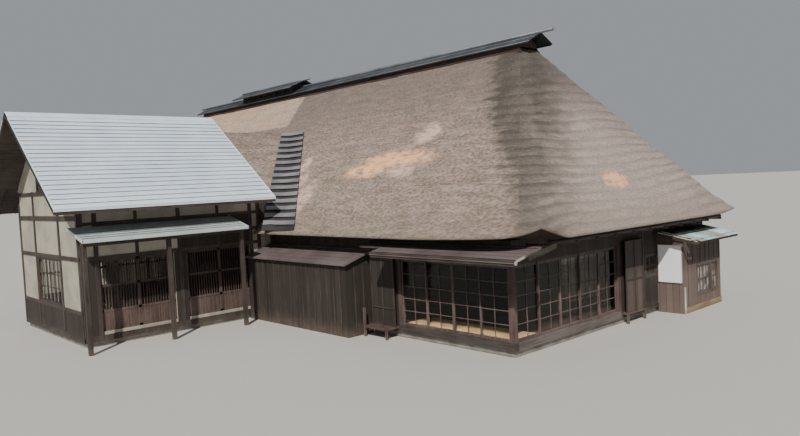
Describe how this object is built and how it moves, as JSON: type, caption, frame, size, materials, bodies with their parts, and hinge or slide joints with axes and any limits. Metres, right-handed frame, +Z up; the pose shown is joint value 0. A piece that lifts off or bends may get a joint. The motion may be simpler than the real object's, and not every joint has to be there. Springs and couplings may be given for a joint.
{
  "type": "minka farmhouse",
  "caption": "Thatched Japanese farmhouse with a hipped roof, metal-covered front wing, glazed corner veranda with sliding doors, lean-to, side annex and awning.",
  "frame": {"origin": "centre of the bounding box at ground level", "axes": "+X along the main ridge towards the end with the glazed veranda, +Y to the back, +Z up"},
  "size_m": [28.1, 17.6, 8.764],
  "materials": {
    "dark_timber": "weathered dark timber",
    "red_timber": "red-brown stained timber",
    "dark_board": "dark weathered boards",
    "lit_board": "faded brown boards",
    "white_panel": "plain white sheet",
    "paper": "paper on a wooden lattice",
    "stone": "rough grey stone",
    "floor_board": "straw-coloured boards and matting",
    "thatch": "weathered reed thatch",
    "ridge_bark": "brown bark and boards",
    "ridge_metal": "blue-grey sheet metal",
    "wing_metal": "pale blue-grey sheet metal",
    "mauve_metal": "brown-mauve sheet metal",
    "valley_metal": "light grey sheet metal",
    "corrugated": "corrugated sheet, turquoise and grey",
    "glass": "clear pane"
  },
  "bodies": {
    "house": {"main_plinth": "stone", "wing_plinth": "stone", "house_floor": "floor_board", "front_sill": "dark_timber", "east_sill": "dark_timber", "corner_post": "red_timber", "front_left_post": "red_timber", "east_end_post": "red_timber", "front_upper_wall": "dark_board", "east_upper_wall": "dark_board", "paper_screens": "paper", "front_wall": "dark_board", "front_wall_west": "dark_board", "passage_beam": "dark_timber", "back_wall": "dark_board", "west_wall": "dark_board", "east_wall": "dark_board", "east_shutter_case": "lit_board", "front_shutter_case": "lit_board", "side_deck": "red_timber", "lean_to_roof": "mauve_metal", "lean_to_frame": "red_timber", "porch_roof": "mauve_metal", "porch_front_wall": "dark_board", "porch_side_wall": "dark_board", "annex_walls": "lit_board", "white_panel": "white_panel", "awning_sheet": "corrugated", "awning_frame": "dark_timber", "thatch_front": "thatch", "thatch_back": "thatch", "thatch_east_hip": "thatch", "thatch_west_hip": "thatch", "wing_thatch_east": "thatch", "wing_thatch_west": "thatch", "valley_metal_east": "valley_metal", "valley_metal_west": "valley_metal", "ridge_core": "ridge_bark", "ridge_cap": "ridge_metal", "vent_body": "dark_board", "vent_roof": "ridge_metal", "wing_east_wall": "dark_board", "wing_west_wall": "dark_board", "wing_gable_wall": "dark_board", "wing_north_gable": "dark_board", "wing_roof_east": "wing_metal", "wing_roof_west": "wing_metal", "wing_ridge_cap": "wing_metal", "wing_pent_roof": "wing_metal", "wing_pent_frame": "dark_timber", "east_leaf_5": "red_timber"},
    "front_leaf_1": {"front_leaf_1": "red_timber"},
    "front_leaf_2": {"front_leaf_2": "red_timber"},
    "front_leaf_3": {"front_leaf_3": "red_timber"},
    "front_leaf_4": {"front_leaf_4": "red_timber"},
    "east_leaf_1": {"east_leaf_1": "red_timber"},
    "east_leaf_2": {"east_leaf_2": "red_timber"},
    "east_leaf_3": {"east_leaf_3": "red_timber"},
    "east_leaf_4": {"east_leaf_4": "red_timber"}
  },
  "joints": [
    {"name": "front_leaf_1_slide", "type": "slide", "parent": "house", "child": "front_leaf_1", "axis": [1, 0, 0], "range_m": [0, 0.887]},
    {"name": "front_leaf_2_slide", "type": "slide", "parent": "house", "child": "front_leaf_2", "axis": [1, 0, 0], "range_m": [-0.887, 0]},
    {"name": "front_leaf_3_slide", "type": "slide", "parent": "house", "child": "front_leaf_3", "axis": [1, 0, 0], "range_m": [0, 0.887]},
    {"name": "front_leaf_4_slide", "type": "slide", "parent": "house", "child": "front_leaf_4", "axis": [1, 0, 0], "range_m": [-0.887, 0]},
    {"name": "east_leaf_1_slide", "type": "slide", "parent": "house", "child": "east_leaf_1", "axis": [0, 1, 0], "range_m": [0, 0.84]},
    {"name": "east_leaf_2_slide", "type": "slide", "parent": "house", "child": "east_leaf_2", "axis": [0, 1, 0], "range_m": [-0.84, 0]},
    {"name": "east_leaf_3_slide", "type": "slide", "parent": "house", "child": "east_leaf_3", "axis": [0, 1, 0], "range_m": [0, 0.84]},
    {"name": "east_leaf_4_slide", "type": "slide", "parent": "house", "child": "east_leaf_4", "axis": [0, 1, 0], "range_m": [-0.84, 0]}
  ]
}
